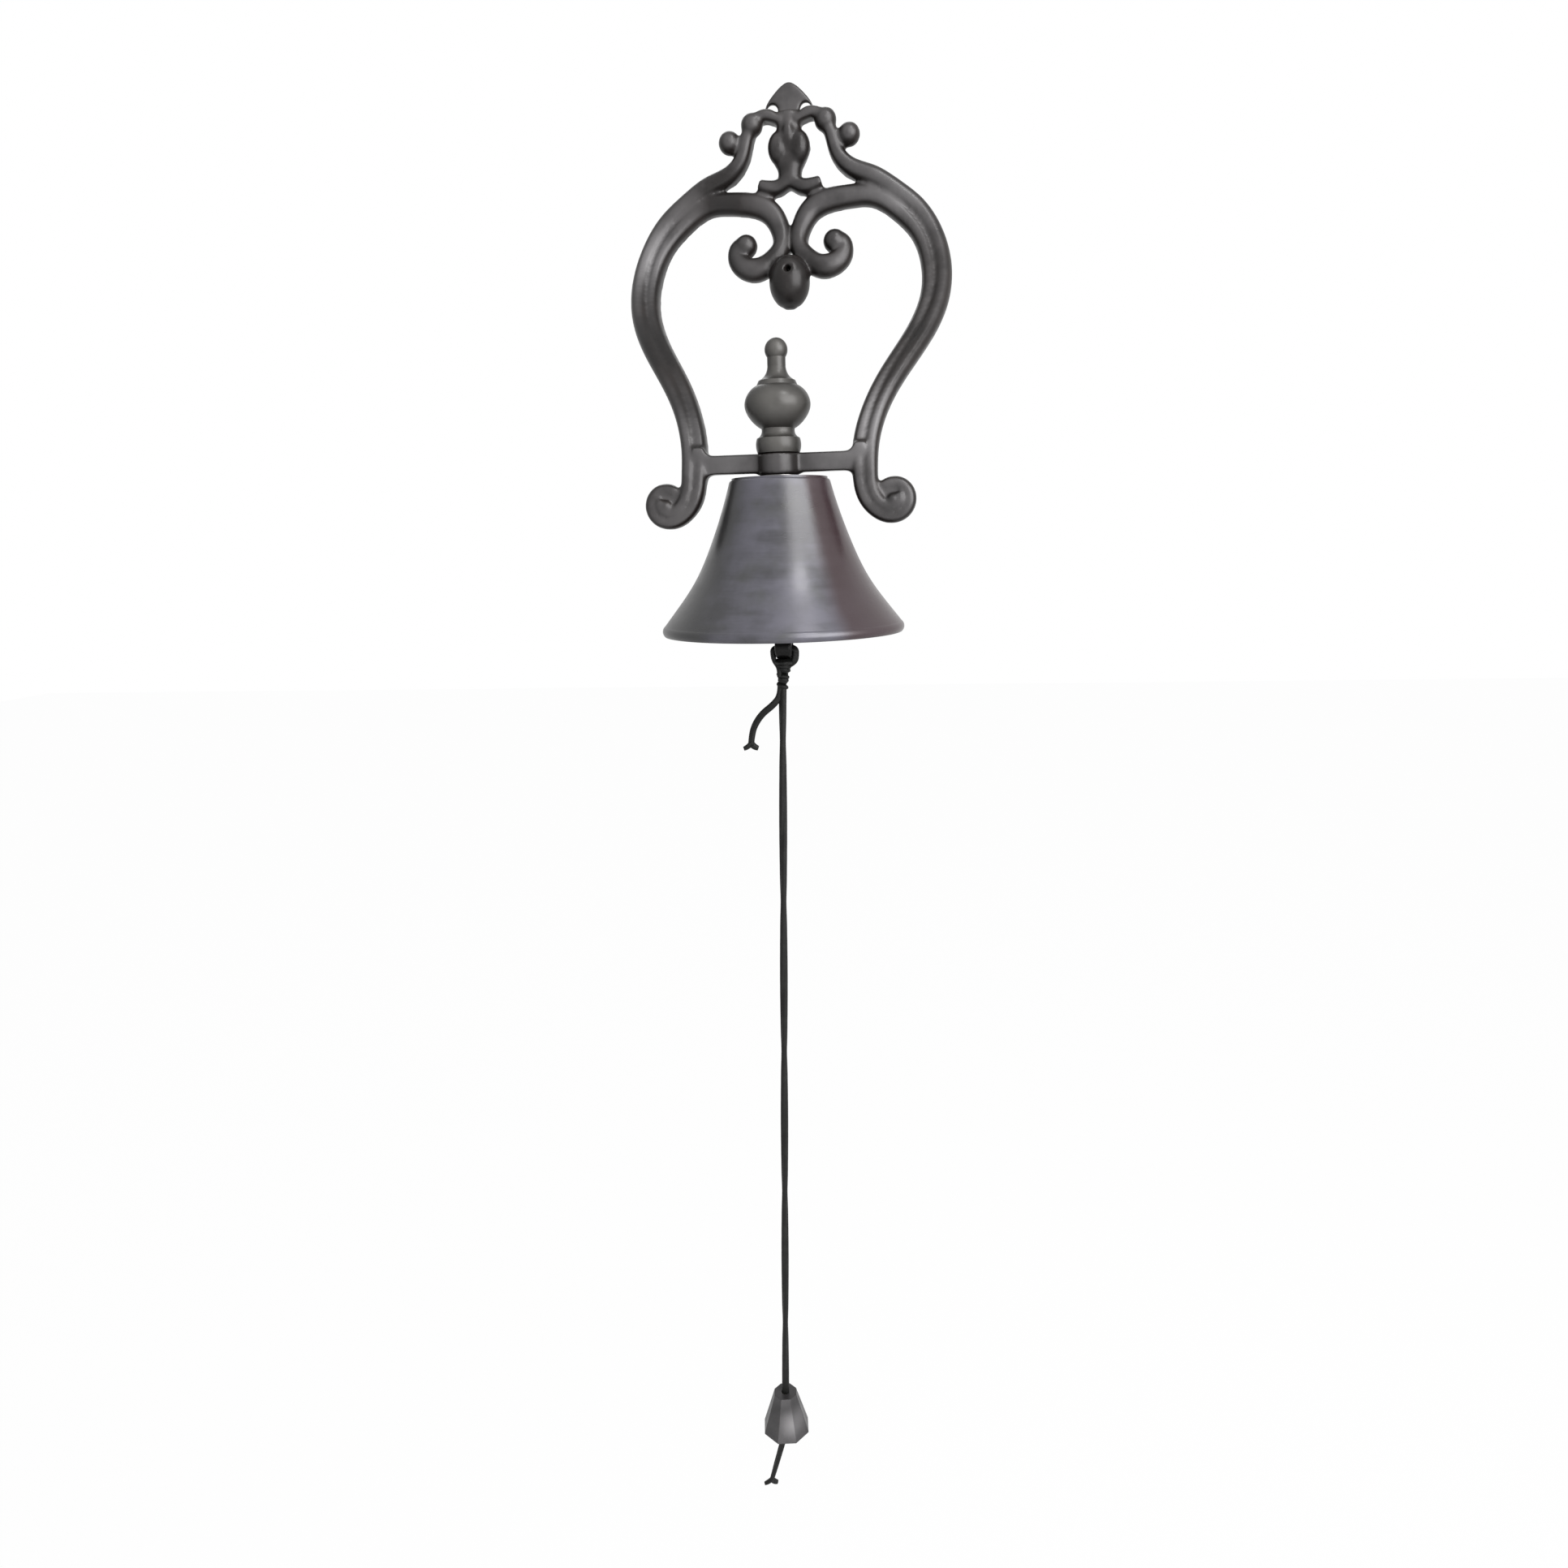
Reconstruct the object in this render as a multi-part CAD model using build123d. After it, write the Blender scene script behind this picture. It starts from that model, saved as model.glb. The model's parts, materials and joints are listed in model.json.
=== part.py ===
from build123d import *
from math import cos, sin, pi, radians, sqrt
import os

# Wall bell: a cast lyre bracket that leans forward from the wall, a flared bell bolted under its
# crossbar, and a clapper pulled by a leather cord with a cast weight.
# +Z is up and the wall is the plane Y = 0, with the bell in front of it, at -Y.
# The origin is on the wall, midway between the two screw holes.

# Driving dimensions, millimetres

# Bracket casting
half_width = 90.5          # centre to the outer edge of the lyre at its widest
drop = 195.0               # screw holes down to the middle of the crossbar
wall_gap = 5.0             # wall to the middle of the bars where they lie on it
reach = 86.0               # how far the bars come forward from there to the feet
bend_start = 45.0          # below the screws, where the bars leave the wall
bend_length = 172.0        # height over which they come forward
outer_back = 5.0           # behind the middle of an outer bead
inner_back = 4.6
bead_skirt = 1.5           # straight side of a bead behind its rounded front
outer_crown = 5.8          # rounded front of a bead, ahead of the middle
inner_crown = 5.0
screw_spacing = 18.8
screw_hole = 6.4           # diameter
tab_thickness = 4.0
scroll_ball = 6.3          # radius of the balls on the arms
volute_ball = 6.5
egg_tip = 0.4
eye_button = 2.9           # radius of the button in the eye of a foot volute
web_thickness = 6.0
bar_height = 9.7           # crossbar
bar_depth = 8.4
bar_flare = 4.5
boss_radius = 11.2
boss_height = 11.3

# Bell
bell_radius = 65.0
bell_height = 80.4
crown_radius = 25.2
crown_thickness = 5.0
bell_wall = 4.2
lip_height = 5.2
lip_wall = 6.0
shoulder_height = 2.2
shoulder_step = 1.2

# Bolt, washers and nut
bolt_radius = 3.9
thread_play = 0.06
bolt_clearance = 0.5
spacer_thickness = 1.2
spacer_radius = 10.4
washer_radius = 10.0
washer_thickness = 1.6
nut_across_flats = 13.0
nut_height = 6.5
thread_depth = 13.0        # bolt into the finial
wire_radius = 2.2
eye_radius = 5.4           # centre of the wire to the centre of an eye
eye_play = 0.3

# Finial
finial_height = 56.4
finial_ring = 11.8
finial_neck = 8.7
finial_bulb = 17.1
finial_knob = 5.9

# Clapper
ball_radius = 13.0
ball_drop = 44.0           # swing axis down to the ball's centre
knuckle_drop = 62.0        # swing axis down to the cord's hole
knuckle_radius = 6.2
knuckle_half = 4.6
rod_radius = 2.8

# Cord and pull weight
cord_diameter = 3.8
cord_play = 0.3
tail_diameter = 3.5          # above the weight, and below it
end_diameter = 2.6
loop_leg = 16.0            # cord's hole down to the knot
knot_height = 7.0
cord_length = 457.0        # knot to the top of the weight
cord_lean = 12.0           # sideways over that length
weight_height = 27.0
weight_top = 7.5           # corner radii
weight_base = 15.6
weight_sides = 8
weight_turn = -14.0        # degrees
weight_recess = 8.0
weight_recess_radius = 6.5
end_knot = 3.6             # radius, and where it is flat above and below
end_knot_flat = 3.0


# Places that several pieces share

def forward(z):
    """Distance from the wall to the middle of the bars at a height."""
    t = min(1.0, max(0.0, (-bend_start - z) / bend_length))
    return wall_gap + reach * t * t * (3 - 2 * t)


def place(across, down):
    """A point on the bars' curved middle surface, by shares of the half width and the drop."""
    z = -down * drop
    return Vector(across * half_width, -forward(z), z)


bar_z = -drop
axis_y = -forward(bar_z)
boss_top = bar_z + bar_height / 2 + 0.2
boss_bottom = boss_top - boss_height
bell_top = boss_bottom - spacer_thickness
crown_under = bell_top - crown_thickness
nut_top = crown_under - washer_thickness
nut_bottom = nut_top - nut_height
eye_z = nut_bottom - 0.4 - wire_radius - eye_radius
swing_z = eye_z - eye_radius
rim_z = bell_top - bell_height
hole_z = swing_z - knuckle_drop
knot_top = hole_z - loop_leg
knot_bottom = knot_top - knot_height
weight_z = knot_bottom - cord_length
weight_bottom = weight_z - weight_height
bore_radius = cord_diameter / 2 + 2 * cord_play
roof_z = weight_bottom + weight_recess
end_knot_z = roof_z - sqrt(end_knot**2 - bore_radius**2) - 0.2


def on_axis(x, y, z):
    """A point given from the bell's own vertical axis."""
    return Vector(x, axis_y + y, z)


# Fluted bars: each is one rounded bead drawn along a path on the curved surface

def bead(path, share, width, back, crown):
    spot = path @ share
    along = (path % share).normalized()
    front = Vector(0, -1, 0)
    front = (front - along * front.dot(along)).normalized()
    plane = Plane(origin=spot, x_dir=front.cross(along), z_dir=along)
    side = 1 if plane.y_dir.dot(front) > 0 else -1
    half = width / 2
    outline = [
        Line((-half, -back * side), (half, -back * side)),
        Line((half, -back * side), (half, bead_skirt * side)),
        ThreePointArc((half, bead_skirt * side), (0, crown * side), (-half, bead_skirt * side)),
        Line((-half, bead_skirt * side), (-half, -back * side)),
    ]
    return plane * make_face(outline)


def width_at(stations, share):
    for (low, first), (high, second) in zip(stations, stations[1:]):
        if share <= high:
            return first + (second - first) * (share - low) / (high - low)
    return stations[-1][1]


def strand(points, back, crown, count):
    """A bar through points of (across, down, width), lofted over evenly spaced sections."""
    spots = [place(across, down) for across, down, width in points]
    path = Spline(*spots)
    stations = [(path.param_at_point(spot), point[2]) for spot, point in zip(spots, points)]
    shares = [i / count for i in range(count + 1)]
    return loft([bead(path, share, width_at(stations, share), back, crown) for share in shares])


def curl(centre, turns):
    """Points round a centre, each as (angle in degrees, radius in mm, width)."""
    return [
        (centre[0] + r * cos(radians(a)) / half_width, centre[1] - r * sin(radians(a)) / drop, w)
        for a, r, w in turns
    ]


volute_eye = (0.278, 0.365)
foot_eye = (0.657, 1.103)

outer_points = [
    (0.045, 0.036, 6.0), (0.105, 0.023, 5.4), (0.168, 0.019, 5.6), (0.228, 0.042, 7.0),
    (0.268, 0.085, 7.6), (0.291, 0.118, 8.2), (0.334, 0.148, 9.0), (0.405, 0.171, 10.0),
    (0.508, 0.190, 10.6), (0.646, 0.230, 10.8), (0.776, 0.278, 10.6), (0.888, 0.358, 10.4),
    (0.943, 0.474, 10.2), (0.922, 0.561, 9.8), (0.829, 0.663, 9.2), (0.688, 0.767, 8.7),
    (0.579, 0.869, 8.0), (0.531, 0.971, 7.6), (0.530, 1.032, 7.2), (0.540, 1.074, 7.0),
] + curl(foot_eye, [(182, 7.5, 6.5), (240, 4.2, 6.0), (325, 3.4, 5.4), (50, 3.4, 4.8)])

inner_points = curl(
    volute_eye,
    [(80, 2.4, 7.0), (342, 5.2, 10.0), (290, 10.2, 11.6), (249, 14.8, 12.6), (209, 17.6, 11.5)],
) + [
    (0.054, 0.367, 10.2), (0.064, 0.322, 11.2), (0.142, 0.265, 12.8), (0.243, 0.246, 12.6),
    (0.354, 0.240, 12.0), (0.514, 0.243, 11.0), (0.663, 0.287, 9.4), (0.783, 0.350, 8.2),
    (0.851, 0.442, 7.7), (0.846, 0.546, 7.3), (0.744, 0.663, 7.2), (0.608, 0.767, 7.0),
    (0.508, 0.869, 7.0), (0.461, 0.971, 7.0), (0.463, 1.032, 7.0), (0.490, 1.093, 7.0),
] + curl(foot_eye, [(214, 10.4, 7.0), (262, 8.7, 7.0), (310, 8.5, 7.0), (358, 8.5, 7.0),
                    (46, 8.5, 6.8), (94, 8.3, 6.4), (130, 7.8, 6.0)])

outer_bar = strand(outer_points, outer_back, outer_crown, 60)
inner_bar = strand(inner_points, inner_back, inner_crown, 70)


def egg(radius, up, down):
    """A turned egg with a tiny flat at each end of its upright axis."""
    angles = [radians(15 * i) for i in range(1, 12)]
    points = [(radius * sin(a), (up if cos(a) > 0 else down) * cos(a)) for a in angles]
    side = Spline((egg_tip, up), *points, (egg_tip, -down), tangents=((1, 0), (-1, 0)))
    ends = [Line((0, up), (egg_tip, up)), Line((egg_tip, -down), (0, -down))]
    return revolve(Plane.XZ * make_face([*ends, side, Line((0, -down), (0, up))]), Axis.Z)


def ball_at(spot, radius, proud=0.0):
    return Pos(spot.X, spot.Y - proud, spot.Z) * Rot(90, 0, 0) * egg(radius, radius, radius)


# Web behind a foot volute, with the button in its eye

def foot_web():
    centre = place(*foot_eye)
    disc = Pos(centre.X, centre.Y, centre.Z) * Rot(90, 0, 0) * Cylinder(10.6, web_thickness)
    return disc + ball_at(centre, eye_button, outer_crown - eye_button + 0.6)


scroll_out = place(0.371, 0.082)
scroll_in = place(0.228, 0.040)

side_pieces = [
    ball_at(scroll_out, scroll_ball, scroll_ball - wall_gap),
    ball_at(scroll_in, scroll_ball, scroll_ball - wall_gap),
    ball_at(place(*volute_eye), volute_ball, 1.2),
    foot_web(),
]


# Stem between the tab and the arch, with its lobed bulb and the two feet it stands on

def stem():
    heights = [(0.010, 13.0), (0.038, 12.6), (0.057, 14.2), (0.080, 20.4), (0.105, 24.2),
               (0.133, 19.6), (0.162, 13.2), (0.192, 12.6)]
    column = strand([(0.0, down, width) for down, width in heights], 4.8, 5.4, 24)
    low, high = place(0, 0.105), place(0, 0.080)
    lobes = [Pos(side * 6.0, low.Y - 1.8, low.Z) * egg(6.0, 8.6, 8.6) for side in (-1, 1)]
    return column + lobes + Pos(0, high.Y - 4.2, high.Z) * egg(3.4, 8.0, 8.0)


def stem_feet():
    right = [(0.075, 0.206, 8.4), (0.130, 0.205, 7.8), (0.196, 0.197, 6.0)]
    left = [(-across, down, width) for across, down, width in reversed(right)]
    return strand([*left, (0.0, 0.192, 7.4), *right], inner_back - 0.2, inner_crown + 0.2, 20)


# Leaf tab on the wall, pierced by the two screw holes

def tab():
    edge = screw_spacing / 2 + screw_hole / 2 + 1.6
    tip = (0, 13.9)
    right = [(5.7, 11.0), (10.3, 6.4), (edge - 1.0, 2.2), (edge, -2.0), (edge - 2.2, -6.0)]
    left = [(-x, z) for x, z in reversed(right)]
    rim = Spline(*left, tip, *right)
    face = make_face([rim, Line(right[-1], left[0])])
    plate = extrude(Plane.XZ * face, tab_thickness)
    plate = fillet(plate.edges().filter_by(GeomType.BSPLINE).group_by(Axis.Y)[0], 1.2)
    drill = Rot(90, 0, 0) * Cylinder(screw_hole / 2, 3 * tab_thickness)
    return plate, [Pos(side * screw_spacing / 2, 0, 0) * drill for side in (-1, 1)]


# Bud that hangs below the inner volutes, with the small pit above it

def bud():
    centre = place(0, 0.476)
    body = Pos(centre.X, centre.Y + 2.4, centre.Z) * egg(11.6, 14.4, 14.4)
    back = Pos(centre.X, centre.Y + inner_back + 20, centre.Z) * Box(40, 40, 40)
    body = body - back
    pit_spot = place(0, 0.448)
    pit = Pos(pit_spot.X, pit_spot.Y - 9.0, pit_spot.Z) * Rot(90, 0, 0) * Cone(1.0, 2.6, 9.0)
    return body, pit


# Crossbar with flared ends and the boss that the bell hangs from

def crossbar():
    end = place(0.500, 1.0).X
    flat = end - bar_flare - 6.0
    top = bar_height / 2
    outline = [
        Line((-flat, top), (flat, top)),
        ThreePointArc((flat, top), (flat + 0.72 * bar_flare, top + 0.29 * bar_flare),
                      (flat + bar_flare, top + bar_flare)),
        Line((flat + bar_flare, top + bar_flare), (end, top + bar_flare)),
        Line((end, top + bar_flare), (end, -top - bar_flare)),
        Line((end, -top - bar_flare), (flat + bar_flare, -top - bar_flare)),
        ThreePointArc((flat + bar_flare, -top - bar_flare),
                      (flat + 0.72 * bar_flare, -top - 0.29 * bar_flare), (flat, -top)),
        Line((flat, -top), (-flat, -top)),
        ThreePointArc((-flat, -top), (-flat - 0.72 * bar_flare, -top - 0.29 * bar_flare),
                      (-flat - bar_flare, -top - bar_flare)),
        Line((-flat - bar_flare, -top - bar_flare), (-end, -top - bar_flare)),
        Line((-end, -top - bar_flare), (-end, top + bar_flare)),
        Line((-end, top + bar_flare), (-flat - bar_flare, top + bar_flare)),
        ThreePointArc((-flat - bar_flare, top + bar_flare),
                      (-flat - 0.72 * bar_flare, top + 0.29 * bar_flare), (-flat, top)),
    ]
    bar = extrude(Plane.XZ * make_face(outline), bar_depth / 2, both=True)
    boss = Cylinder(boss_radius, boss_height)
    boss = fillet(boss.edges().filter_by(GeomType.CIRCLE), 1.0)
    middle = (boss_top + boss_bottom) / 2
    return Pos(0, axis_y, bar_z) * bar + Pos(0, axis_y, middle) * boss


tab_plate, screw_drills = tab()
bud_body, bud_pit = bud()
bolt_drill = Pos(0, axis_y, bar_z) * Cylinder(bolt_radius + bolt_clearance, 4 * boss_height)

right_half = outer_bar + inner_bar
for piece in side_pieces:
    right_half = right_half + piece
right_half = right_half & Pos(half_width, 0, -drop / 2) * Box(2 * half_width, 2 * drop, 2 * drop)
bracket = right_half + mirror(right_half, Plane.YZ)
for piece in (stem_feet(), bud_body, tab_plate, crossbar(), stem()):
    bracket = bracket + piece
for piece in (bud_pit, bolt_drill, *screw_drills):
    bracket = bracket - piece


# Finial, turned to its outline and tapped from below

def finial():
    h = finial_height
    neck = 0.8 * finial_knob
    outline = [
        Line((0, 0), (finial_ring - 0.8, 0)),
        ThreePointArc((finial_ring - 0.8, 0), (finial_ring, 0.065 * h), (finial_ring - 0.6, 0.13 * h)),
        ThreePointArc((finial_ring - 0.6, 0.13 * h), (finial_neck + 0.3, 0.165 * h),
                      (finial_neck, 0.215 * h)),
        Spline((finial_neck, 0.215 * h), (0.86 * finial_bulb, 0.31 * h), (finial_bulb, 0.425 * h),
               (0.87 * finial_bulb, 0.53 * h), (0.62 * finial_bulb, 0.59 * h)),
        Line((0.62 * finial_bulb, 0.59 * h), (0.56 * finial_bulb, 0.63 * h)),
        Spline((0.56 * finial_bulb, 0.63 * h), (0.38 * finial_bulb, 0.67 * h), (neck, 0.75 * h)),
        Line((neck, 0.75 * h), (neck, h - 1.6 * finial_knob)),
        ThreePointArc((neck, h - 1.6 * finial_knob), (finial_knob, h - finial_knob), (0, h)),
        Line((0, h), (0, 0)),
    ]
    body = revolve(Plane.XZ * make_face(outline), Axis.Z)
    bore = Cylinder(bolt_radius + thread_play, 2 * (thread_depth + 1.0))
    return Pos(0, axis_y, boss_top) * (body - bore)


# Bell: a thin flared wall with a flat crown, a step at the shoulder and a rolled lip

def bell():
    flare = bell_radius - crown_radius
    depth = bell_height - shoulder_height - lip_height
    shares = [(0.0, 0.035), (0.17, 0.13), (0.42, 0.30), (0.69, 0.54), (0.90, 0.82), (1.0, 0.965)]
    points = [(crown_radius + out * flare, bell_height - shoulder_height - down * depth)
              for down, out in shares]
    side = Spline(*points)
    lip_top = points[-1]
    step = crown_radius
    outer = [
        Line((0, bell_height), (step, bell_height)),
        Line((step, bell_height), (step, bell_height - shoulder_height + shoulder_step)),
        RadiusArc((step, bell_height - shoulder_height + shoulder_step), points[0],
                  1.3 * shoulder_step),
        side,
        ThreePointArc(lip_top, (bell_radius, 0.45 * lip_height), (bell_radius - 1.0, 0)),
        Line((bell_radius - 1.0, 0), (0, 0)),
        Line((0, 0), (0, bell_height)),
    ]
    solid = revolve(Plane.XZ * make_face(outer), Axis.Z)
    walls = []
    for share in (0.04, 0.2, 0.4, 0.6, 0.8, 0.94):
        tangent = (side % share).normalized()
        spot = side @ share
        walls.append((spot.X + tangent.Y * bell_wall, spot.Y - tangent.X * bell_wall))
    mouth = (bell_radius - lip_wall, 0)
    roof = bell_height - crown_thickness
    inside = Spline((walls[0][0] - 1.5, roof), *walls[1:], mouth)
    hollow = [
        inside,
        Line(mouth, (mouth[0], -1)),
        Line((mouth[0], -1), (0, -1)),
        Line((0, -1), (0, roof)),
        Line((0, roof), (walls[0][0] - 1.5, roof)),
    ]
    hollow = revolve(Plane.XZ * make_face(hollow), Axis.Z)
    bolt_hole = Pos(0, 0, bell_height) * Cylinder(bolt_radius + bolt_clearance, 4 * crown_thickness)
    return Pos(0, axis_y, rim_z) * (solid - hollow - bolt_hole)


def washer(radius, thickness, top):
    ring = Cylinder(radius, thickness) - Cylinder(bolt_radius + bolt_clearance, 2 * thickness)
    return Pos(0, axis_y, top - thickness / 2) * ring


def nut():
    body = extrude(RegularPolygon(nut_across_flats / 2, 6, major_radius=False), nut_height)
    crown = Pos(0, 0, nut_height / 2) * Cylinder(nut_across_flats / 2 * 1.09, nut_height)
    crown = chamfer(crown.edges().filter_by(GeomType.CIRCLE), 0.7)
    body = (body & crown) - Cylinder(bolt_radius + thread_play, 4 * nut_height)
    return Pos(0, axis_y, nut_bottom) * body


def eye_bolt():
    top = boss_top + thread_depth
    shank = top - eye_z - eye_radius
    rod = Pos(0, 0, eye_z + eye_radius + shank / 2) * Cylinder(bolt_radius, shank)
    rod = chamfer(rod.edges().filter_by(GeomType.CIRCLE).sort_by(Axis.Z)[-1], 0.6)
    ring = Pos(0, 0, eye_z) * Rot(90, 0, 0) * Torus(eye_radius, wire_radius)
    return Pos(0, axis_y, 0) * (rod + ring)


# Clapper, one casting: eye, rod, ball and the knuckle that the cord passes through

def clapper():
    ring_z = swing_z + 2 * wire_radius + eye_play - eye_radius
    ring = Pos(0, 0, ring_z) * Rot(0, 90, 0) * Torus(eye_radius, wire_radius)
    ball_z = swing_z - ball_drop
    rod_top = ring_z - eye_radius
    rod = Pos(0, 0, (rod_top + ball_z) / 2) * Cylinder(rod_radius, rod_top - ball_z)
    ball = Pos(0, 0, ball_z) * Sphere(ball_radius)
    neck = Pos(0, 0, (ball_z + hole_z) / 2) * Cylinder(rod_radius, ball_z - hole_z)
    knuckle = Cylinder(knuckle_radius, 2 * knuckle_half)
    knuckle = fillet(knuckle.edges().filter_by(GeomType.CIRCLE), 1.8)
    hole_radius = cord_diameter / 2 + cord_play
    bore = Cylinder(hole_radius, 4 * knuckle_half)
    mouth = [Pos(0, 0, side * knuckle_half) * Rot(90 - 90 * side, 0, 0)
             * Cone(hole_radius, hole_radius + 1.6, 1.6) for side in (-1, 1)]
    mouth = [Pos(0, 0, -side * 0.8) * cone for side, cone in zip((-1, 1), mouth)]
    turn = Pos(0, 0, hole_z) * Rot(0, 90, 0)
    body = ring + [rod, ball, neck, turn * knuckle]
    return Pos(0, axis_y, 0) * (body - [turn * bore] - [turn * cone for cone in mouth])


# Cord: the loop through the knuckle, the knot, the straight pull and the two short tails

def tube(points, radius, radii):
    path = FilletPolyline(*points, radius=radii) if radii else Line(*points)
    start = Plane(origin=path @ 0, z_dir=path % 0)
    solid = sweep(start * Circle(radius), path)
    length = sum(edge.length for edge in path.edges())
    print(f"cord: length {length:.1f}, radii {[round(r, 1) for r in radii]}, "
          f"volume {solid.volume / (pi * radius * radius * length):.4f} of section by length")
    return solid


def bend_radii(points):
    radii = []
    for before, corner, after in zip(points, points[1:], points[2:]):
        turn = radians((corner - before).get_angle(after - corner))
        shorter = min((corner - before).length, (after - corner).length)
        radii.append(0.45 * shorter / (sin(turn / 2) / cos(turn / 2)))
    return radii


def cord_x(z):
    """Where the leaning pull cord is at a height."""
    return -cord_lean * (knot_bottom - z) / cord_length


def cord_loop():
    leg = knuckle_half + cord_play + cord_diameter / 2 + 0.2
    near = Vector(-1.1, -1.65, 0)
    left = [on_axis(near.X, near.Y, knot_top), on_axis(near.X, near.Y, knot_top + 3.5),
            on_axis(-leg, 0, hole_z - 6.5), on_axis(-leg, 0, hole_z)]
    right = [on_axis(leg, 0, hole_z), on_axis(leg, 0, hole_z - 6.5),
             on_axis(-near.X, -near.Y, knot_top + 3.5), on_axis(-near.X, -near.Y, knot_top)]
    radii = bend_radii(left + right)
    radii[2] = radii[3] = cord_diameter
    return tube(left + right, cord_diameter / 2, radii)


def top_knot():
    half = cord_diameter / 2
    across = Rot(0, 0, 56) * Ellipse(2 * half + 0.3, half + 0.4)
    bulge = Rot(0, 0, 40) * Ellipse(2 * half + 0.1, half + 1.1)
    middle = (knot_top + knot_bottom) / 2
    sections = [Pos(0, 0, knot_top) * across, Pos(0, 0, middle) * bulge,
                Pos(0, 0, knot_bottom) * Ellipse(half + 0.6, half + 0.5)]
    return Pos(0, axis_y, 0) * loft(sections)


def pull_cord():
    low = end_knot_z + end_knot_flat
    points = [on_axis(cord_x(knot_bottom + 1), 0, knot_bottom + 1), on_axis(cord_x(low - 1), 0, low - 1)]
    ends = [Pos(0, axis_y, knot_bottom + 5) * Box(10, 10, 10), on_cord(low - 5) * Box(10, 10, 10)]
    return tube(points, cord_diameter / 2, []) - ends


def tail(points, diameter):
    radius = diameter / 2
    solid = tube(points, radius, bend_radii(points))
    end = points[-1]
    run = (points[-1] - points[-2]).normalized()
    tips = []
    for side in (-1, 1):
        out = (run + Vector(side, 0, 0) * 1.3).normalized()
        tip = Pos(0, 0, 1.2 * radius) * Cone(0.85 * radius, 0.45 * radius, 2.4 * radius)
        tips.append(Plane(origin=end - run * 0.4 * radius, z_dir=out) * tip)
    return solid + tips


def cord_tail():
    spots = [(-1.2, 3.6), (-6.0, -1.4), (-11.4, -8.0), (-15.8, -16.2), (-18.2, -25.2)]
    return tail([on_axis(x, 0, knot_bottom + z) for x, z in spots], tail_diameter)


def pull_weight():
    top = Pos(0, 0, weight_height) * RegularPolygon(weight_top, weight_sides, rotation=weight_turn)
    base = RegularPolygon(weight_base, weight_sides, rotation=weight_turn)
    body = loft([base, top])
    body = fillet(body.edges(), 0.7)
    bore = Cylinder(bore_radius, 4 * weight_height)
    recess = Cylinder(weight_recess_radius, 2 * weight_recess)
    middle = on_cord((weight_z + roof_z) / 2).position
    return Pos(middle.X, axis_y, weight_bottom) * (body - bore - recess)


def on_cord(z):
    return Pos(cord_x(z), axis_y, z)


def weight_knot():
    return on_cord(end_knot_z) * (Sphere(end_knot) & Box(20, 20, 2 * end_knot_flat))


def end_tail():
    z = end_knot_z - end_knot_flat
    spots = [(0, 0), (0, -5.0), (-2.6, -14.0), (-6.6, -28.0), (-10.4, -42.0)]
    return tail([on_axis(cord_x(z) + dx, 0, z + dz) for dx, dz in spots], end_diameter)


parts = {
    "bracket": bracket,
    "finial": finial(),
    "spacer_washer": washer(spacer_radius, spacer_thickness, boss_bottom),
    "bell": bell(),
    "crown_washer": washer(washer_radius, washer_thickness, crown_under),
    "crown_nut": nut(),
    "eye_bolt": eye_bolt(),
    "clapper": clapper(),
    "cord_loop": cord_loop(),
    "top_knot": top_knot(),
    "pull_cord": pull_cord(),
    "cord_tail": cord_tail(),
    "pull_weight": pull_weight(),
    "weight_knot": weight_knot(),
    "end_tail": end_tail(),
}

os.makedirs("parts", exist_ok=True)
for name, shape in parts.items():
    export_step(shape, f"parts/{name}.step")
    print(name, len(shape.solids()), "solid(s)", round(shape.volume), "mm3")
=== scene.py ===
import json
import math

import bmesh
import bpy
from mathutils import Matrix, Vector


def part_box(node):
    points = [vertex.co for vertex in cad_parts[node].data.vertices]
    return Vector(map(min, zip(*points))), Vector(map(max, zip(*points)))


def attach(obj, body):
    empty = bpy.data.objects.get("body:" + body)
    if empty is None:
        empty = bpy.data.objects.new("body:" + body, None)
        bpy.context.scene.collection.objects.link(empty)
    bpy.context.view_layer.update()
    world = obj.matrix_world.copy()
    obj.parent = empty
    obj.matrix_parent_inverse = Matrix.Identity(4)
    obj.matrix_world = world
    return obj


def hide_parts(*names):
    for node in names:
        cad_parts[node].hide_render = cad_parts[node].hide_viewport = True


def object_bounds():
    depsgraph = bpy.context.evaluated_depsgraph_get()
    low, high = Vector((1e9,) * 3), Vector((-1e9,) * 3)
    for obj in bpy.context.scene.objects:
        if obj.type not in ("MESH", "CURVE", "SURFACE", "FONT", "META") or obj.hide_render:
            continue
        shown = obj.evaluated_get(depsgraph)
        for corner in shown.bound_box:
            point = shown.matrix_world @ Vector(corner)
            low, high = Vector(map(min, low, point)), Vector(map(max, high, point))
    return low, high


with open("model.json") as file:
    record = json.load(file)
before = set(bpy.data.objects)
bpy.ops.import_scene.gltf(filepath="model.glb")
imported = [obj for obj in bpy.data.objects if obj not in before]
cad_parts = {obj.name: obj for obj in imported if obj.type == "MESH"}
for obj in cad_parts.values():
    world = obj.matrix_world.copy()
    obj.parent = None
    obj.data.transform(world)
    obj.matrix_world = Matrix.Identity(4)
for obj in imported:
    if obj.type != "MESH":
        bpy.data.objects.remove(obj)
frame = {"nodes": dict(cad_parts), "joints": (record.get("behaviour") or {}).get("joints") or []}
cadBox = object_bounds()
joints = {joint["name"]: joint for joint in frame["joints"]}
print("frame loaded,", len(frame["nodes"]), "nodes")


# places read from the frame

def low(node):
    return Vector(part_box(node)[0])


def high(node):
    return Vector(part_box(node)[1])


def middle(node):
    return (low(node) + high(node)) / 2


def lengthOf(spots):
    return sum((b - a).length for a, b in zip(spots, spots[1:]))


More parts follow.
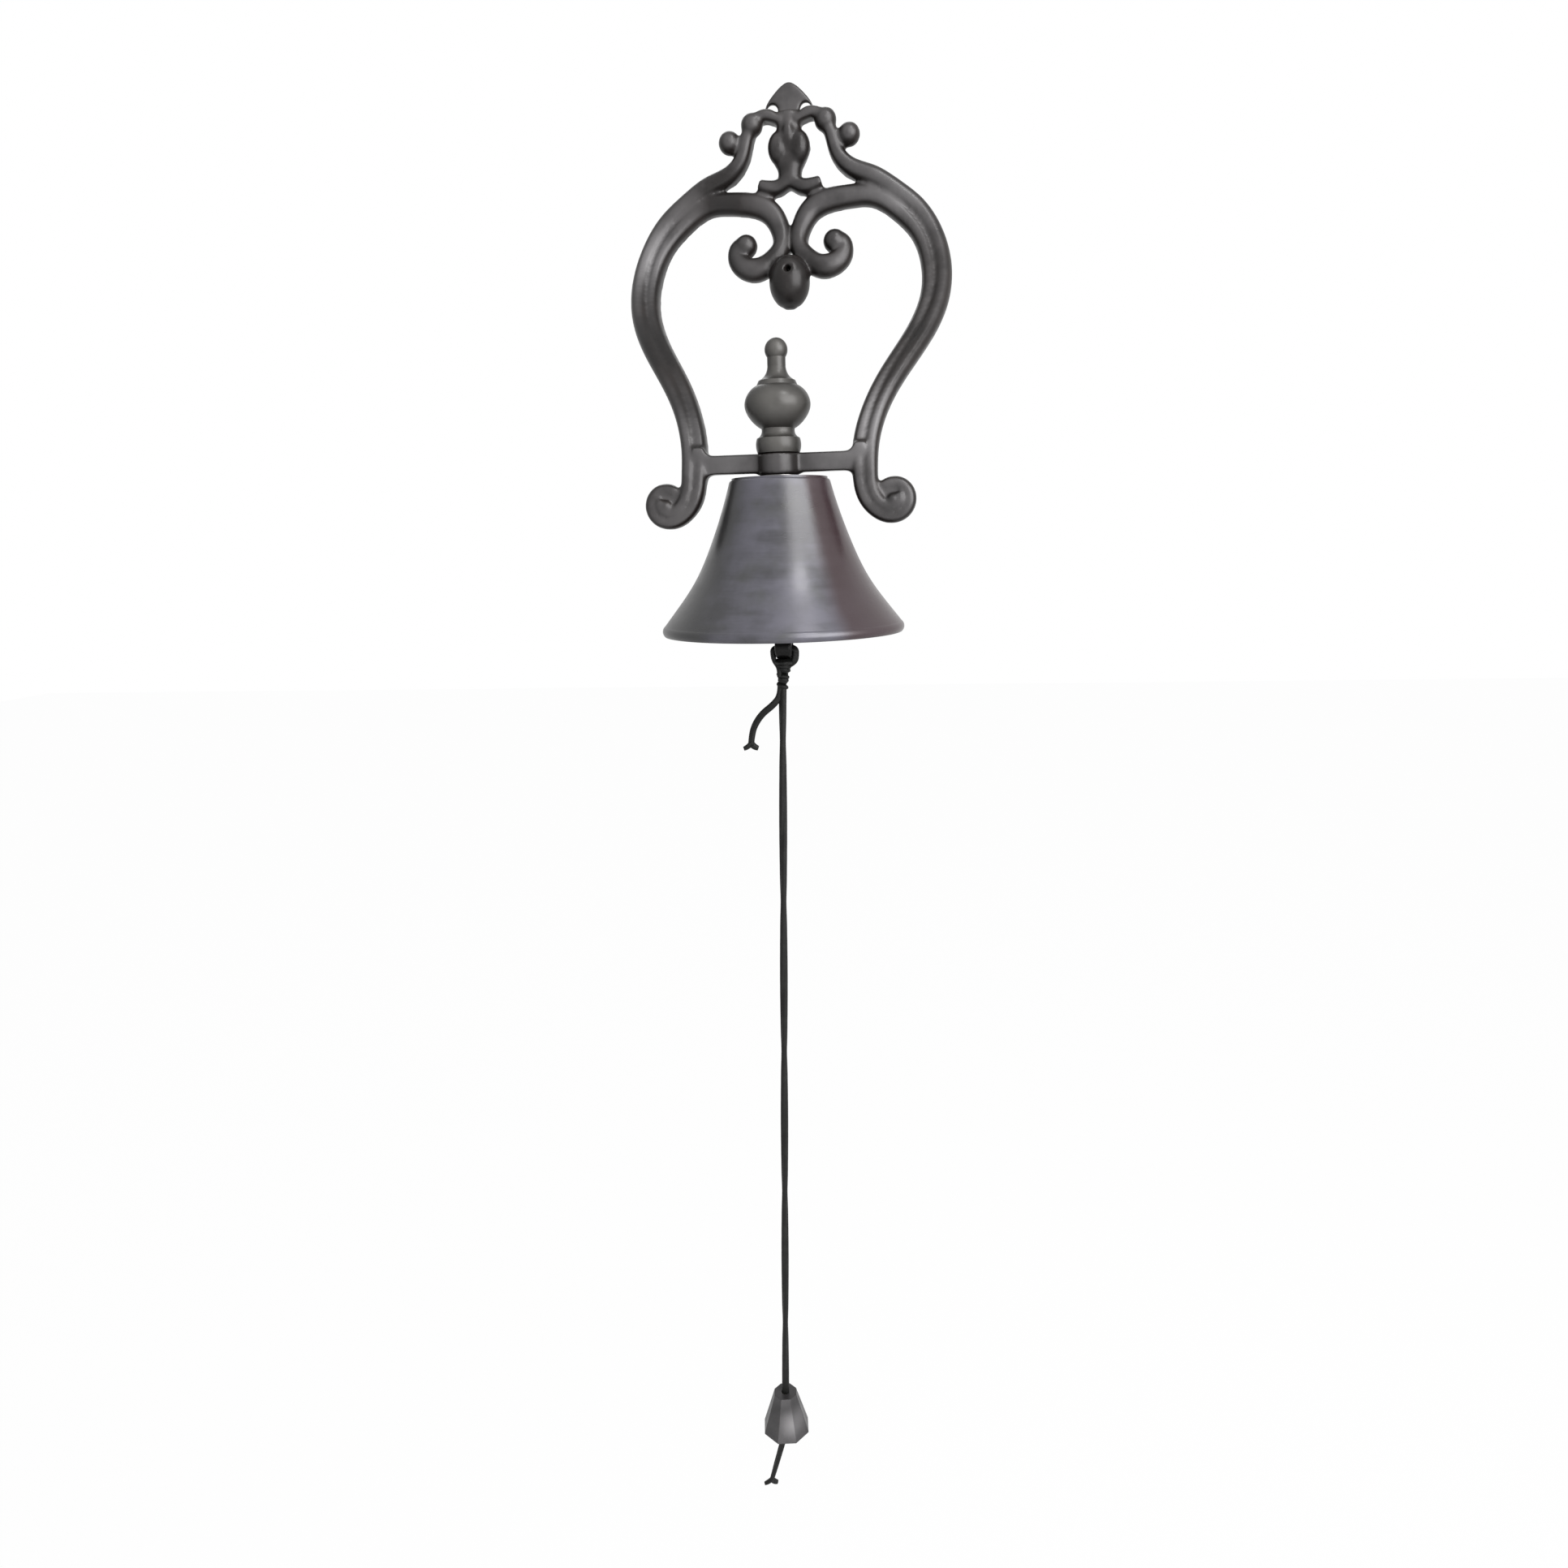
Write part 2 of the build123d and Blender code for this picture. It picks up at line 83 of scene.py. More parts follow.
axisY = joints["cord_hang"]["pos_m"][1]     # bell, clapper and cord hang in this plane
holeZ = joints["cord_hang"]["pos_m"][2]     # the hole in the clapper's knuckle
knuckleLow = low("clapper").z
hitchTop, hitchLow = high("top_knot").z, low("top_knot").z
stopTop, stopLow = high("weight_knot").z, low("weight_knot").z
stopX = middle("weight_knot").x
hitchX = -0.0014                            # chosen: the cord hangs a little to the left, as photographed


# materials

class Wire:
    # one output of a material's node, which can be added to, scaled and mixed
    def __init__(self, tree, socket=None):
        self.tree = tree
        self.socket = socket

    def node(self, kind, inputs=None, output=0, **settings):
        made = self.tree.nodes.new(kind)
        for name, value in settings.items():
            setattr(made, name, value)
        for name, value in (inputs or {}).items():
            if isinstance(value, Wire):
                self.tree.links.new(value.socket, made.inputs[name])
            else:
                made.inputs[name].default_value = value
        return Wire(self.tree, made.outputs[output] if made.outputs else None)

    def math(self, operation, other, clamp=False):
        return self.node("ShaderNodeMath", {0: self, 1: other}, operation=operation, use_clamp=clamp)

    def __add__(self, other):
        return self.math("ADD", other)

    def __sub__(self, other):
        return self.math("SUBTRACT", other)

    def __mul__(self, other):
        return self.math("MULTIPLY", other)

    __radd__ = __add__
    __rmul__ = __mul__

    def __rsub__(self, other):
        return self * -1.0 + other

    def span(self, start, end, toLow=0.0, toHigh=1.0):
        return self.node("ShaderNodeMapRange", {0: self, 1: start, 2: end, 3: toLow, 4: toHigh},
                         interpolation_type="SMOOTHSTEP")

    def blend(self, dark, light):
        return self.node("ShaderNodeMix", {0: self, 6: dark, 7: light}, output=2, data_type="RGBA")

    def along(self, axis):
        return self.node("ShaderNodeSeparateXYZ", {"Vector": self}, output=axis)

    def stretched(self, scale):
        return self.node("ShaderNodeMapping", {"Vector": self, "Scale": scale})


def newMaterial(name):
    material = bpy.data.materials.new(name)
    material.use_nodes = True
    tree = material.node_tree
    place = Wire(tree).node("ShaderNodeTexCoord", output="Object")
    return material, tree.nodes["Principled BSDF"], place


def dress(shader, sockets):
    # a wire where the surface varies, a plain value where it is the same all over
    for name, value in sockets.items():
        if isinstance(value, Wire):
            value.tree.links.new(value.socket, shader.inputs[name])
        else:
            shader.inputs[name].default_value = value


def noise(place, scale, detail, rough=0.55):
    return place.node("ShaderNodeTexNoise", {"Vector": place, "Scale": scale, "Detail": detail,
                                             "Roughness": rough})


def bump(height, strength, distance):
    return height.node("ShaderNodeBump", {"Height": height, "Strength": strength, "Distance": distance})


def paint(node, material):
    thing = frame["nodes"][node]
    thing.data.materials.clear()
    thing.data.materials.append(material)
    return thing


def softShade(thing, angle=35):
    # smooth faces that still break at edges sharper than the angle
    thing.data.shade_smooth()
    modifier = thing.modifiers.new("edgeSplit", "EDGE_SPLIT")
    modifier.split_angle = math.radians(angle)


# camera: a short lens, level with the upper part of the bell and looking a little down

photoView = {
    "place": (0.0736, -0.6578, -0.2344),
    "turn": 7.56,           # degrees to the left
    "tilt": 13.0,           # degrees down
    "roll": 1.6,            # degrees clockwise
    "lens": 24.22,
    "sensor": 36,
    "nearest": 0.01,
}


def makeCamera(view):
    turn, tilt, roll = (math.radians(view[key]) for key in ("turn", "tilt", "roll"))
    ahead = Vector((-math.sin(turn) * math.cos(tilt), math.cos(turn) * math.cos(tilt), -math.sin(tilt)))
    right = Vector((math.cos(turn), math.sin(turn), 0))
    up = right.cross(ahead)
    across = right * math.cos(roll) - up * math.sin(roll)
    upright = right * math.sin(roll) + up * math.cos(roll)
    turned = Matrix((across, upright, -ahead)).transposed().to_4x4()
    data = bpy.data.cameras.new("photoCamera")
    data.lens = view["lens"]
    data.sensor_width = view["sensor"]
    data.clip_start = view["nearest"]
    camera = bpy.data.objects.new("photoCamera", data)
    camera.matrix_world = Matrix.Translation(view["place"]) @ turned
    bpy.context.scene.collection.objects.link(camera)
    bpy.context.scene.camera = camera


makeCamera(photoView)
print("camera placed")


# the lace: a leather cord folded to two lobes, with a slow twist

laceCord = {
    "width": 0.0046,
    "thickness": 0.0040,
    "groove": 0.26,         # how deep the fold is, as a share of the half thickness
    "grooveWidth": 0.34,    # as a share of the half width
    "twist": 0.188,         # metres for a full turn
    "sides": 20,
    "step": 0.0012,
}

tightCord = dict(laceCord, twist=1.0)       # short pieces that are pulled flat, with hardly any twist

laceFinish = {
    "black": (0.0020, 0.0021, 0.0019, 1),
    "worn": (0.0095, 0.0100, 0.0090, 1),
    "grain": 900,                           # the scales of the noise
    "fibres": (2600, 2600, 260),
    "patches": 160,
    "patchEdge": (0.42, 0.72),
    "wornShares": (0.6, 0.3),               # how much the patches and the grain count
    "grainSpan": (0.3, 0.7),
    "roughness": (0.48, 0.66),
    "relief": (0.35, 0.0003),
    "specular": 0.25,
}


def laceMaterial(finish):
    material, shader, place = newMaterial("blackLace")
    grain = noise(place, finish["grain"], 5)
    fibres = noise(place.stretched(finish["fibres"]), 1.0, 3)
    patches = noise(place, finish["patches"], 3).span(*finish["patchEdge"])
    patchShare, grainShare = finish["wornShares"]
    dress(shader, {
        "Base Color": (patches * patchShare + grain * grainShare).blend(finish["black"], finish["worn"]),
        "Roughness": grain.span(*finish["grainSpan"], *finish["roughness"]),
        "Normal": bump(fibres + grain, *finish["relief"]),
        "Specular IOR Level": finish["specular"],
    })
    return material


def routeLine(points, step):
    # the smooth line of a route, cut into short steps
    curve = bpy.data.curves.new("route", "CURVE")
    curve.dimensions = "3D"
    spline = curve.splines.new("NURBS")
    spline.points.add(len(points) - 1)
    for point, spot in zip(spline.points, points):
        point.co = (*spot, 1)
    spline.order_u = 3
    spline.use_endpoint_u = True
    curve.resolution_u = max(4, round(lengthOf(points) / step / max(1, len(points) - 2)))
    holder = bpy.data.objects.new("route", curve)
    line = bpy.data.meshes.new_from_object(holder)
    spots = [vert.co.copy() for vert in line.vertices]
    bpy.data.objects.remove(holder)
    bpy.data.meshes.remove(line)
    bpy.data.curves.remove(curve)
    return spots


def laceRing(work, cord, place, grow):
    # one section of the lace: a circle pinched in the middle to two lobes
    ring = bmesh.ops.create_circle(work, segments=cord["sides"], radius=1.0)["verts"]
    for vert in ring:
        fold = 1 - cord["groove"] * math.exp(-(vert.co.x / cord["grooveWidth"]) ** 2)
        across = vert.co.x * cord["width"] / 2
        deep = vert.co.y * fold * cord["thickness"] / 2
        vert.co = Vector((across, deep, 0)) * grow
    bmesh.ops.transform(work, matrix=place, verts=ring)
    return ring


def ringEdges(ring):
    inside = set(ring)
    return [edge for edge in {edge for vert in ring for edge in vert.link_edges}
            if edge.verts[0] in inside and edge.verts[1] in inside]


def addLace(work, spots, cord, turn=0.0, size=None):
    # size(share) scales the section along the lace, and turn is in radians at its start
    side = (spots[1] - spots[0]).orthogonal().normalized()
    total = lengthOf(spots)
    run, rings = 0.0, []
    for i, spot in enumerate(spots):
        before, after = spots[max(i - 1, 0)], spots[min(i + 1, len(spots) - 1)]
        run += (spot - before).length
        ahead = (after - before).normalized()
        side = (side - ahead * side.dot(ahead)).normalized()
        facing = Matrix((side, ahead.cross(side), ahead)).transposed().to_4x4()
        twisted = Matrix.Rotation(turn + 2 * math.pi * run / cord["twist"], 4, "Z")
        place = Matrix.Translation(spot) @ facing @ twisted
        rings.append(laceRing(work, cord, place, size(run / total) if size else 1.0))
    for ringA, ringB in zip(rings, rings[1:]):
        bmesh.ops.bridge_loops(work, edges=ringEdges(ringA) + ringEdges(ringB))
    for ring in (rings[0], rings[-1]):
        bmesh.ops.contextual_create(work, geom=ringEdges(ring))


blackLace = laceMaterial(laceFinish)


def finishLace(work, name, node=None):
    # every piece of the lace moves with the pull, and most stand for a node of the frame
    bmesh.ops.recalc_face_normals(work, faces=work.faces)
    mesh = bpy.data.meshes.new(name)
    work.to_mesh(mesh)
    work.free()
    mesh.shade_smooth()
    mesh.materials.append(blackLace)
    thing = bpy.data.objects.new(name, mesh)
    bpy.context.scene.collection.objects.link(thing)
    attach(thing, "pull")
    if node:
        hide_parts(node)
    return thing


loopRoute = {
    "leg": 0.0062,                          # the lace lies close along both sides of the knuckle
    "down": 0.0050,
    "corner": (0.0054, 0.0078),             # round the knuckle's lower edge: out, and down from the hole
    "pinch": (0.0019, 0.0008, 0.0056),      # where the legs come together: out, aside, up from the hitch
    "near": (0.0011, 0.00165),              # in the hitch they lie beside each other
    "straight": 0.0025,
    "width": 0.0040,
    "thickness": 0.0031,
    "turn": 0.6,
    "diameter": 0.0036,
}


def loopPoints(loop):
    # up the left leg, through the knuckle's hole and down the right leg
    nearX, nearY = loop["near"]
    pinchX, pinchY, pinchUp = loop["pinch"]
    cornerX, cornerDown = loop["corner"]
    points = []
    for side in (-1, 1):
        leg = [(hitchX + side * nearX, side * nearY, hitchTop),
               (hitchX + side * nearX, side * nearY, hitchTop + loop["straight"]),
               (hitchX + side * pinchX, side * pinchY, hitchTop + pinchUp),
               (side * cornerX, 0, holeZ - cornerDown),
               (side * loop["leg"], 0, holeZ - loop["down"]),
               (side * loop["leg"], 0, holeZ)]
        points += leg if side < 0 else leg[::-1]
    return [Vector((x, axisY + y, z)) for x, y, z in points]


def makeLoop(loop):
    spots = routeLine(loopPoints(loop), laceCord["step"] / 2)
    cord = dict(laceCord, width=loop["width"], thickness=loop["thickness"])
    work = bmesh.new()
    addLace(work, spots, cord, loop["turn"])
    return finishLace(work, "laceLoop", "cord_loop"), spots


pullRoute = {
    "tuck": 0.002,              # how far the straight cord reaches up into the hitch
    "turn": 1.2,
    "diameter": 0.0041,
}


def makePull(pull):
    top = Vector((hitchX, axisY, hitchLow + pull["tuck"]))
    end = Vector((stopX, axisY, stopTop))
    spots = routeLine([top, (top + end) / 2, end], laceCord["step"])
    work = bmesh.new()
    addLace(work, spots, laceCord, pull["turn"])
    return finishLace(work, "pullLace", "pull_cord"), spots


coreSize = {"width": 0.0036, "thickness": 0.0034}       # the lace inside the two knots

hitchTurns = {
    "turns": 6.2,
    "start": 0.4,                       # radians round from the right
    "radius": (0.0046, 0.00175),        # the turns narrow from the knuckle down to the pull
    "narrowing": 2.4,
    "under": 0.0014,                    # how far the first turn stays under the knuckle
    "above": 0.0008,                    # how far the last one ends over the bottom of the hitch
    "coreDrop": 0.001,                  # from the first turn to the core's start, and below the hitch
    "coreStep": 0.0008,
    "steps": 200,
    "width": 0.0034,
    "thickness": 0.0024,
}


def makeHitch(hitch):
    # the free end goes round the two legs and the pull, then leaves to the left
    cord = dict(tightCord, width=hitch["width"], thickness=hitch["thickness"])
    turns, (wide, narrow) = hitch["turns"], hitch["radius"]
    top = knuckleLow - hitch["under"]
    core = routeLine([Vector((0, axisY, top - hitch["coreDrop"])),
                      Vector((hitchX, axisY, (hitchTop + hitchLow) / 2)),
                      Vector((hitchX, axisY, hitchLow - hitch["coreDrop"]))], hitch["coreStep"])
    wrap = []
    for i in range(hitch["steps"] + 1):
        share = i / hitch["steps"]
        angle = hitch["start"] + 2 * math.pi * turns * share
        radius = narrow + (wide - narrow) * (1 - share) ** hitch["narrowing"]
        fall = max(0.0, (share * turns - 1) / (turns - 1))      # the first turn lies level
        wrap.append(Vector((hitchX * share + radius * math.cos(angle),
                            axisY + radius * math.sin(angle),
                            top - fall * (top - hitchLow - hitch["above"]))))
    work = bmesh.new()
    addLace(work, core, dict(cord, **coreSize))
    addLace(work, wrap, cord, math.pi / 2)
    return finishLace(work, "hitch", "top_knot")


stopTurns = {
    "steps": 120,
    "inset": (0.0012, 0.0012, 0.0014),      # keeps the lace inside the knot's own size
    "coreSteps": (1.0, 0.5, 0.0, -0.5, -1.0),       # in half heights of the knot
    "width": 0.0026,
    "thickness": 0.0022,
}


def makeStopKnot(knot):
    # an overhand knot that the weight hangs on
    cord = dict(tightCord, width=knot["width"], thickness=knot["thickness"])
    centre = middle("weight_knot")
    half = (high("weight_knot") - low("weight_knot")) / 2
    room = half - Vector(knot["inset"])
    line = []
    for i in range(knot["steps"] + 1):
        angle = 2 * math.pi * i / knot["steps"]
        x = (math.sin(angle) + 2 * math.sin(2 * angle)) / 3
        y = (math.cos(angle) - 2 * math.cos(2 * angle)) / 3
        z = -math.sin(3 * angle)
        line.append(centre + Vector((x * room.x, y * room.y, z * room.z)))
    core = [centre + Vector((0, 0, half.z * share)) for share in knot["coreSteps"]]
    work = bmesh.new()
    addLace(work, line, cord)
    addLace(work, core, dict(cord, **coreSize))
    return finishLace(work, "stopKnot", "weight_knot")


# the two free ends, whose routes run right and up in millimetres from where they leave their knot

hitchTail = {
    "name": "laceTail",
    "node": "cord_tail",
    "start": (hitchX, axisY, hitchLow),
    "route": [(-1.0, 2.0), (-1.2, -3.6), (-5.6, -8.8), (-12.0, -13.6), (-16.6, -20.4), (-18.2, -27.0),
              (-18.6, -31.0)],
    "width": 0.0038,
    "turn": 0.3,
    "diameter": 0.0036,
}

weightTail = {
    "name": "endLace",
    "node": "end_tail",
    "start": (stopX, axisY, stopLow),
    "route": [(0, 0), (0, -5.0), (-2.6, -15.0), (-6.8, -31.0), (-10.8, -46.0)],
    "width": 0.0040,
    "turn": 0.9,
    "diameter": 0.0038,
}

tailFlatness = 0.85             # thickness as a share of the width

slitTips = {                    # lengths in cord widths
    "back": 0.3,                # the slit starts this far before the end
    "bend": (0.6, 0.30),        # along and out, to where a half bends away
    "lean": (0.55, 1.7),        # its direction from there, along and out
    "aside": 0.25,
    "length": 0.80,
    "flatness": 0.8,
    "groove": 0.1,
    "size": 0.96,
    "taper": 0.25,
    "turn": 0.5,
    "step": 0.0006,
}


def slitEnd(name, spots, width, tips):
    # the lace is slit at its end, and the two halves curl apart
    cord = dict(tightCord, width=width, thickness=tips["flatness"] * width, groove=tips["groove"])
    run = (spots[-1] - spots[-3]).normalized()
    bendAlong, bendOut = tips["bend"]
    leanAlong, leanOut = tips["lean"]
    work = bmesh.new()
    for side in (-1, 1):
        out = Vector((side, tips["aside"] * side, 0))
        start = spots[-1] - run * width * tips["back"]
        bend = start + run * width * bendAlong + out * width * bendOut
        tip = bend + (run * leanAlong + out * leanOut).normalized() * width * tips["length"]
        addLace(work, routeLine([start, bend, tip], tips["step"]), cord, tips["turn"] * side,
                lambda share: tips["size"] * (1 - tips["taper"] * share ** 3))
    return finishLace(work, name)


def makeTail(tail):
    cord = dict(laceCord, width=tail["width"], thickness=tailFlatness * tail["width"])
    start = Vector(tail["start"])
    points = [start + Vector((x, 0, z)) / 1000 for x, z in tail["route"]]
    spots = routeLine(points, laceCord["step"])
    work = bmesh.new()
    addLace(work, spots, cord, tail["turn"])
    thing = finishLace(work, tail["name"], tail["node"])
    return thing, spots, slitEnd(tail["name"] + "Tips", spots, tail["width"], slitTips)


laceLoop, loopLine = makeLoop(loopRoute)
pullLace, pullLine = makePull(pullRoute)
hitchKnot = makeHitch(hitchTurns)
stopKnot = makeStopKnot(stopTurns)
laceTail, tailLine, tailTips = makeTail(hitchTail)
endLace, endLine, endTips = makeTail(weightTail)
print("lace laid")


# cast iron, black with rust, and lighter on the ridges that face forward: a painted highlight mixed with
# burnish wear in clouds; black at the sides

bracketIron = {
    "black": (0.009, 0.0078, 0.0075, 1),
    "burnishAndHighlight": (0.150, 0.146, 0.148, 1),
    "rust": (0.018, 0.0135, 0.012, 1),
    "ridge": (0.66, 1.0),       # how squarely a face looks forward, from black to the burnish colour, which stands as painted highlight
    "wearAndHighlight": (0.16, 0.46),       # least and most of the wear and painted highlight, in the clouds
    "leastWearAndHighlight": 0.05,
    "spots": [                  # right and up in metres, reach, and how much painted highlight (more) or painted shade (less) is added there
        (-0.088, -0.080, 0.034, 1.05),      # outer bends of the bars
        (0.088, -0.085, 0.022, -0.12),
        (-0.036, -0.046, 0.030, -0.40),     # shoulders
        (0.060, -0.046, 0.030, 0.30),
        (-0.066, -0.140, 0.028, -0.30),     # the bars as they draw in
        (0.068, -0.136, 0.026, -0.26),
        (-0.050, -0.180, 0.026, 0.40),      # legs
        (0.052, -0.174, 0.030, 0.95),
        (-0.028, -0.195, 0.022, 0.34),      # crossbar
        (0.028, -0.195, 0.022, 0.34),
        (-0.072, -0.215, 0.024, -0.12),     # foot volutes
        (0.072, -0.212, 0.022, 0.26),
        (0.000, -0.095, 0.040, -0.30),      # bud and inner volutes
        (0.000, -0.020, 0.030, -0.20),      # leaf and stem
    ],
    "clouds": 30,               # the scales of the noise
    "lumps": 220,
    "sand": 640,
    "wearEdge": (0.30, 0.62),
    "rustEdge": (0.35, 0.72),
    "pitEdge": (0.45, 0.80),
    "rustShares": (0.6, 0.2),   # how much the clouds and the lumps count
    "roughEdge": (0.35, 0.65),
    "roughness": (0.30, 0.40),
    "sandShare": 0.3,
    "relief": (0.5, 0.00005),
    "metallic": 0.04,
    "specular": 0.30,
    "tint": (0.8, 0.8, 0.8, 1),
}

# the finial, clapper and weight take the same painted highlight on their forward faces, the weight with one
# painted highlight spot
finialIron = dict(bracketIron, black=(0.022, 0.021, 0.019, 1), burnishAndHighlight=(0.102, 0.099, 0.093, 1),
                  rust=(0.036, 0.033, 0.030, 1), ridge=(0.40, 1.0), wearAndHighlight=(0.45, 0.95), spots=[])
clapperIron = dict(bracketIron, black=(0.003, 0.003, 0.003, 1), burnishAndHighlight=(0.008, 0.008, 0.008, 1),
                   rust=(0.006, 0.005, 0.004, 1), metallic=0.0, specular=0.2, spots=[])
weightIron = dict(bracketIron, black=(0.030, 0.029, 0.030, 1), burnishAndHighlight=(0.230, 0.224, 0.228, 1),
                  rust=(0.046, 0.043, 0.044, 1), ridge=(0.2, 1.0), wearAndHighlight=(0.08, 0.30), metallic=0.25,
                  spots=[(-0.0050, -0.786, 0.012, 0.85)])


def castIron(name, iron):
    material, shader, place = newMaterial(name)
    # faces that look forward get the burnish colour as a painted highlight
    forward = place.node("ShaderNodeTexCoord", output="Normal").along(1) * -1.0
    sand = noise(place, iron["sand"], 3)
    lumps = noise(place, iron["lumps"], 3)
    clouds = noise(place, iron["clouds"], 4)
    wearAndHighlight = clouds.span(*iron["wearEdge"], *iron["wearAndHighlight"])
    flat = place.stretched((1, 0, 1))
    # each spot adds painted highlight where its amount is positive and painted shade where it is negative
    for x, z, reach, amount in iron["spots"]:
        away = flat.node("ShaderNodeVectorMath", {0: flat, 1: (x, 0, z)}, output="Value",
                         operation="DISTANCE")
        wearAndHighlight = wearAndHighlight + away.span(0.0, reach, amount, 0.0)
    # painted highlight on the forward faces, scaled by the wear clouds and by the painted light and shade
    # spots
    worn = forward.span(*iron["ridge"]) * wearAndHighlight.math("MAXIMUM", iron["leastWearAndHighlight"])
    cloudShare, pitShare = iron["rustShares"]
    rusty = clouds.span(*iron["rustEdge"]) * cloudShare + lumps.span(*iron["pitEdge"]) * pitShare
    dress(shader, {
        "Base Color": worn.blend(rusty.blend(iron["black"], iron["rust"]), iron["burnishAndHighlight"]),
        "Roughness": (clouds * 0.5 + lumps * 0.5).span(*iron["roughEdge"], *iron["roughness"]),
        "Normal": bump(sand * iron["sandShare"] + lumps, *iron["relief"]),
        "Metallic": iron["metallic"],
        "Specular IOR Level": iron["specular"],
        "Specular Tint": iron["tint"],
    })
    return material


# the bell: bluish iron with faint bands and blotches, with painted shade at its left and back, and at its
# right a brown patina darkened as painted shade

bellIron = {
    "blue": (0.092, 0.090, 0.110, 1),
    "grey": (0.040, 0.0395, 0.044, 1),
    # painted shade for the bell's left and back
    "shade": (0.012, 0.0115, 0.012, 1),
    # brown patina, dark enough to stand as painted shade at the bell's right as well
    "shadedBrown": (0.028, 0.0150, 0.0170, 1),
    "green": (0.046, 0.048, 0.043, 1),
    "shadeTurn": (-58, -18),    # degrees round to the right from the front, where the painted shade at the left ends
    "shadedBrownTurn": (28, 43),      # where the brown, darkened as painted shade, begins
    "backTurn": (120, 165),     # where it gives way to the painted shade again, so that the back has no seam
    "waver": 16.0,              # degrees that these edges wander
    "clouds": 26,               # the scales of the noise
    "bands": (24, 24, 170),
    "greenPatches": 48,
    "lumps": 300,
    "sand": 1700,
    "blueShares": (0.72, 0.28),         # how much the clouds and the bands count
    "blueEdge": (0.38, 0.64),
    "greenEdge": (0.50, 0.74),
    "greenShare": 0.55,
    "shadedBrownShare": 0.92,
    "roughEdge": (0.35, 0.65),
    "roughness": (0.27, 0.35),
    "sandShare": 0.3,
    "relief": (0.35, 0.00008),
    "metallic": 0.12,
    "specular": 0.70,
    "tint": (0.75, 0.75, 0.75, 1),
}


def bellMaterial(iron):
    material, shader, place = newMaterial("bellIron")
    centred = place.node("ShaderNodeMapping", {"Vector": place, "Location": (0, -axisY, 0)})
    right, forward = centred.along(0), centred.along(1) * -1.0
    clouds = noise(place, iron["clouds"], 4)
    bands = noise(place.stretched(iron["bands"]), 1.0, 4)
    lumps = noise(place, iron["lumps"], 3)
    sand = noise(place, iron["sand"], 4)
    turn = right.math("ARCTAN2", forward) * (180 / math.pi) + (clouds - 0.5) * iron["waver"]
    notBack = 1 - turn.span(*iron["backTurn"])
    # brown patina with painted shade at the right, giving way to the painted shade at the back
    shadedBrown = turn.span(*iron["shadedBrownTurn"]) * notBack
    cloudShare, bandShare = iron["blueShares"]
    bluish = (clouds * cloudShare + bands * bandShare).span(*iron["blueEdge"])
    greenish = noise(place, iron["greenPatches"], 3).span(*iron["greenEdge"]) * iron["greenShare"]
    front = greenish.blend(bluish.blend(iron["grey"], iron["blue"]), iron["green"])
    # painted shade at the bell's left and back, over the front colour
    shaded = (turn.span(*iron["shadeTurn"]) * notBack).blend(iron["shade"], front)
    dress(shader, {
        "Base Color": (shadedBrown * iron["shadedBrownShare"]).blend(shaded, iron["shadedBrown"]),
        "Roughness": (clouds * 0.5 + bands * 0.5).span(*iron["roughEdge"], *iron["roughness"]),
        "Normal": bump(sand * iron["sandShare"] + lumps, *iron["relief"]),
        "Metallic": iron["metallic"],
        "Specular IOR Level": iron["specular"],
        "Specular Tint": iron["tint"],
    })
    return material


fixingSteel = {
    "dark": (0.10, 0.10, 0.10, 1),
    "bright": (0.24, 0.23, 0.22, 1),
    "clouds": 60,
    "scratches": (1400, 1400, 300),
    "roughEdge": (0.3, 0.7),
    "roughness": (0.30, 0.46),
    "relief": (0.2, 0.00005),
    "metallic": 0.9,
}


def steelMaterial(steel):
    material, shader, place = newMaterial("darkSteel")
    clouds = noise(place, steel["clouds"], 4)
    scratches = noise(place.stretched(steel["scratches"]), 1.0, 3)
    dress(shader, {
        "Base Color": clouds.blend(steel["dark"], steel["bright"]),
        "Roughness": clouds.span(*steel["roughEdge"], *steel["roughness"]),
        "Normal": bump(scratches, *steel["relief"]),
        "Metallic": steel["metallic"],
    })
    return material


castBlend = {
    "voxel": 0.0009,        # the casting is remeshed so that its joins run into each other
    "factor": 0.5,
    "rounds": 13,
}


def dressBracket(blend):
    thing = paint("bracket", castIron("bracketIron", bracketIron))
    thing.data.shade_smooth()
    remesh = thing.modifiers.new("castJoins", "REMESH")
    remesh.mode = "VOXEL"
    remesh.voxel_size = blend["voxel"]
    remesh.use_smooth_shade = True
    smooth = thing.modifiers.new("castSoftness", "SMOOTH")
    smooth.factor = blend["factor"]
    smooth.iterations = blend["rounds"]


dressBracket(castBlend)
softShade(paint("finial", castIron("finialIron", finialIron)))
softShade(paint("bell", bellMaterial(bellIron)))
softShade(paint("clapper", castIron("clapperIron", clapperIron)))
softShade(paint("pull_weight", castIron("weightIron", weightIron)), angle=20)
darkSteel = steelMaterial(fixingSteel)
for node in ("spacer_washer", "crown_washer", "crown_nut", "eye_bolt"):
    softShade(paint(node, darkSteel))
print("iron dressed")


# each cord's length is worked out along its line, and nothing is done with it

def declare(spots):
    lengthOf(spots)


declare(pullLine)
declare(loopLine)
declare(tailLine)
declare(endLine)


# floor, background and lamps

studioSettings = {
    "floorDrop": 0.30,          # below the lowest point of the frame's solids
    "floorSize": 12.0,
    "floorColour": (0.86, 0.86, 0.86, 1),
    "floorWhite": 0.98,         # the rest is the floor's own colour, which takes the shadow
    "surround": 0.20,           # how much light comes from all round
}

white = (1, 1, 1, 1)


